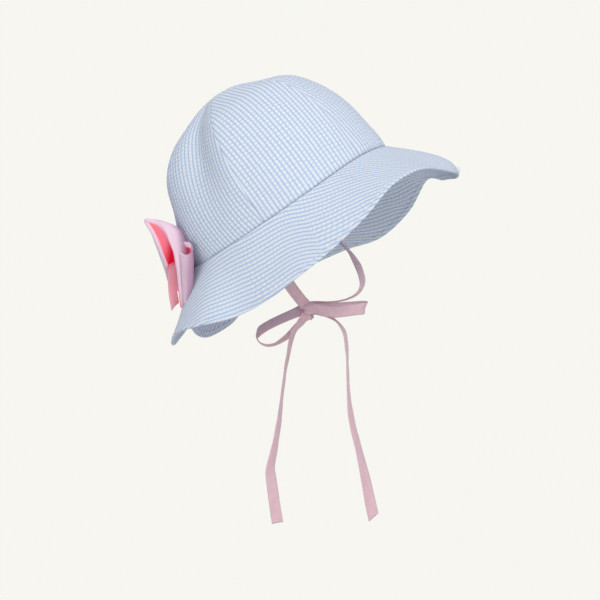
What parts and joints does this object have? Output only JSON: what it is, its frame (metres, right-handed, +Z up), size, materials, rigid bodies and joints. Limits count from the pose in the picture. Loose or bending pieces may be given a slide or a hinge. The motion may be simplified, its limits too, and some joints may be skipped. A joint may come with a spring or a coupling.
{
  "type": "baby's woven seersucker sun hat with back bow and chin ties",
  "caption": "Soft striped sun hat with a gored crown, a wide wavy brim, a ribbon bow at the back and ribbon ties knotted in a bow under the chin.",
  "frame": {"origin": "centre of the head opening, in the plane of the brim seam's front and back points", "axes": "+X the way the hat faces, +Z up, +Y the wearer's left; the crown leans back 34 degrees as it is worn in the picture"},
  "size_m": [0.2242, 0.2159, 0.3332],
  "materials": {
    "seersucker": "matt puckered cotton, white with narrow pale blue stripes",
    "bow_ribbon": "pale pink wide ribbon, a deeper pink inside its folds",
    "tie_ribbon": "dusty pink narrow woven ribbon"
  },
  "bodies": {
    "root": {"crown_front": "seersucker", "crown_right_front": "seersucker", "crown_right_back": "seersucker", "crown_back": "seersucker", "crown_left_back": "seersucker", "crown_left_front": "seersucker", "brim": "seersucker", "bow_knot": "bow_ribbon", "bow_loop_right": "bow_ribbon", "bow_loop_left": "bow_ribbon", "bow_inner_loop_right": "bow_ribbon", "bow_inner_loop_left": "bow_ribbon", "bow_tail_right": "bow_ribbon", "bow_tail_left": "bow_ribbon", "tie_strap_right": "tie_ribbon", "tie_strap_left": "tie_ribbon", "tie_knot": "tie_ribbon", "tie_loop_back": "tie_ribbon", "tie_loop_front": "tie_ribbon", "tie_tail_back": "tie_ribbon", "tie_tail_front": "tie_ribbon"}
  },
  "joints": []
}
